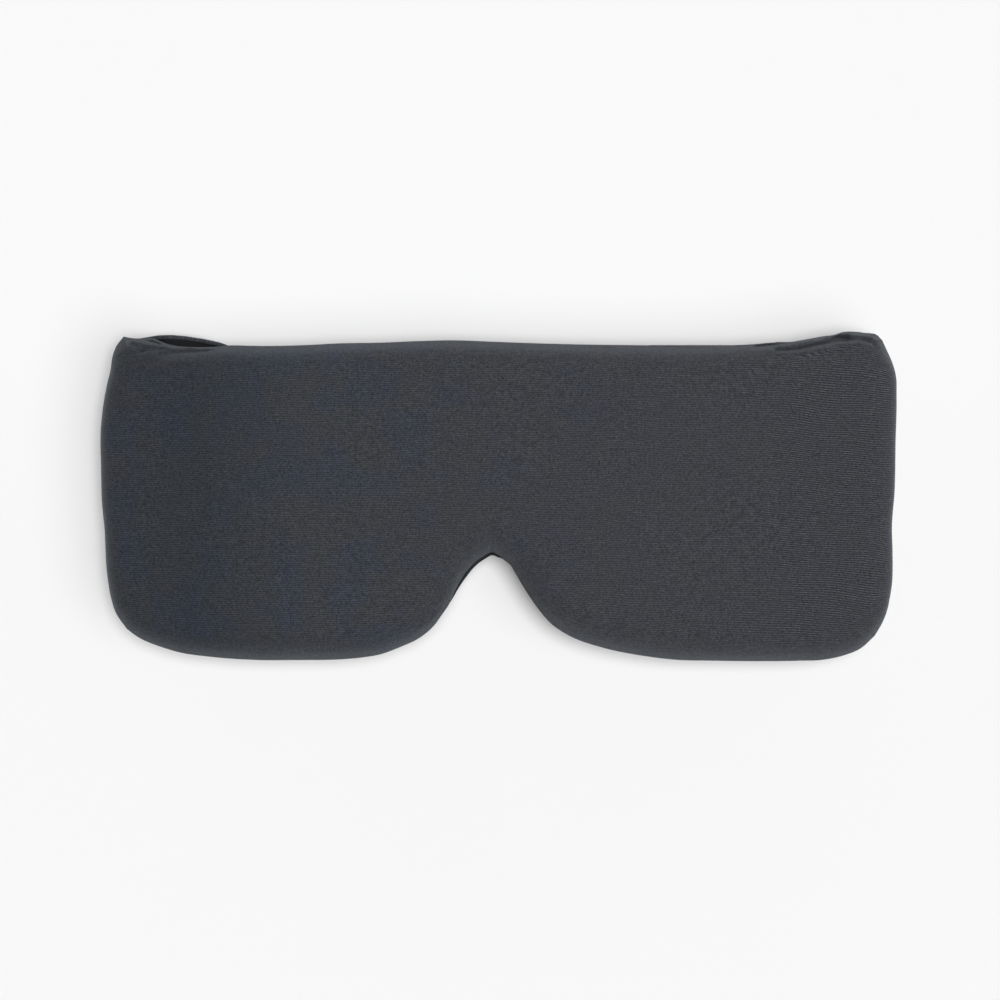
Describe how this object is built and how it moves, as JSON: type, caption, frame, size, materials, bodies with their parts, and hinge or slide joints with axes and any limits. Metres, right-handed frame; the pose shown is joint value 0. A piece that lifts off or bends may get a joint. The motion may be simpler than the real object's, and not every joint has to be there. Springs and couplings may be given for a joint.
{
  "type": "eye massager mask",
  "caption": "Padded fabric eye mask with a nose notch, eye cavities, hidden vibration motors, an edge control panel and two hook-and-loop head bands folded behind it.",
  "frame": {"origin": "centre of the bounding box's underside, on the table under the folded bands", "axes": "+X across the mask to its right in front view, +Y towards the forehead, +Z out of the padded front"},
  "size_m": [0.238, 0.098, 0.031],
  "materials": {
    "knit": "matt brushed stretch knit, slate grey, fine horizontal ribs",
    "lining": "soft short-pile lining, darker slate",
    "foam": "open-cell grey foam, matt",
    "wadding": "white fibre wadding",
    "carrier": "flexible natural plastic sheet",
    "woven_tape": "narrow woven tape",
    "hook_tape": "dark hook tape",
    "loop_tape": "dark loop tape",
    "pod_plastic": "fine-textured grey moulding",
    "laminate": "green solder mask",
    "black_epoxy": "black moulded epoxy",
    "port_shell": "nickel-plated steel",
    "light_pipe": "milky moulded plastic",
    "silicone": "matt black silicone",
    "pouch": "laminated foil pouch",
    "wire": "soft insulated wire",
    "screw_steel": "plated steel",
    "motor_steel": "pressed plated steel",
    "rotor_alloy": "sintered heavy alloy"
  },
  "bodies": {
    "mask": {"front_cover": "knit", "front_padding": "wadding", "carrier_sheet": "carrier", "rear_foam": "foam", "face_lining": "lining", "seam_piping": "woven_tape", "nose_baffle": "lining", "left_eye_cushion": "lining", "right_eye_cushion": "lining", "left_band_anchor": "woven_tape", "right_band_anchor": "woven_tape", "pod_case_front": "pod_plastic", "pod_case_rear": "pod_plastic", "circuit_board": "laminate", "controller_chip": "black_epoxy", "charge_inductor": "black_epoxy", "push_switch": "black_epoxy", "usb_c_port": "port_shell", "status_light_pipe": "light_pipe", "control_panel": "silicone", "battery_cell": "pouch", "battery_lead": "wire", "case_screw_1": "screw_steel", "case_screw_2": "screw_steel", "case_screw_3": "screw_steel", "case_screw_4": "screw_steel", "motor_boot_left_temple": "silicone", "motor_case_left_temple": "motor_steel", "motor_plate_left_temple": "motor_steel", "motor_lead_left_temple": "wire", "motor_boot_left_brow": "silicone", "motor_case_left_brow": "motor_steel", "motor_plate_left_brow": "motor_steel", "motor_lead_left_brow": "wire", "motor_boot_right_brow": "silicone", "motor_case_right_brow": "motor_steel", "motor_plate_right_brow": "motor_steel", "motor_lead_right_brow": "wire", "motor_boot_right_temple": "silicone", "motor_case_right_temple": "motor_steel", "motor_plate_right_temple": "motor_steel", "motor_lead_right_temple": "wire"},
    "rotor_left_temple": {"motor_rotor_left_temple": "rotor_alloy"},
    "rotor_left_brow": {"motor_rotor_left_brow": "rotor_alloy"},
    "rotor_right_brow": {"motor_rotor_right_brow": "rotor_alloy"},
    "rotor_right_temple": {"motor_rotor_right_temple": "rotor_alloy"},
    "button": {"power_button": "silicone", "switch_plunger": "black_epoxy"},
    "right_strap": {"right_band": "knit", "hook_patch": "hook_tape", "pull_tab": "woven_tape"},
    "left_strap": {"left_band": "knit", "loop_patch": "loop_tape"}
  },
  "joints": [
    {"name": "right_band_fold", "type": "hinge", "parent": "mask", "child": "right_strap", "pos_m": [0.1145, 0.02, 0.004], "axis": [0, -1, 0], "range_deg": [0, 170]},
    {"name": "left_band_fold", "type": "hinge", "parent": "mask", "child": "left_strap", "pos_m": [-0.1145, 0.02, 0.004], "axis": [0, 1, 0], "range_deg": [0, 170]},
    {"name": "power_button_press", "type": "slide", "parent": "mask", "child": "button", "axis": [0, -1, 0], "range_m": [0, 0.0008], "stiffness_N_per_m": 400},
    {"name": "rotor_left_temple_spin", "type": "hinge", "parent": "mask", "child": "rotor_left_temple", "pos_m": [-0.086, -0.002, 0.02045], "axis": [0, 0, 1], "continuous": true},
    {"name": "rotor_left_brow_spin", "type": "hinge", "parent": "mask", "child": "rotor_left_brow", "pos_m": [-0.031, 0.0285, 0.02045], "axis": [0, 0, 1], "continuous": true},
    {"name": "rotor_right_brow_spin", "type": "hinge", "parent": "mask", "child": "rotor_right_brow", "pos_m": [0.031, 0.0285, 0.02045], "axis": [0, 0, 1], "continuous": true},
    {"name": "rotor_right_temple_spin", "type": "hinge", "parent": "mask", "child": "rotor_right_temple", "pos_m": [0.086, -0.002, 0.02045], "axis": [0, 0, 1], "continuous": true}
  ],
  "couplings": [
    {"joint": "left_band_fold", "follows": "right_band_fold", "ratio": 1}
  ]
}
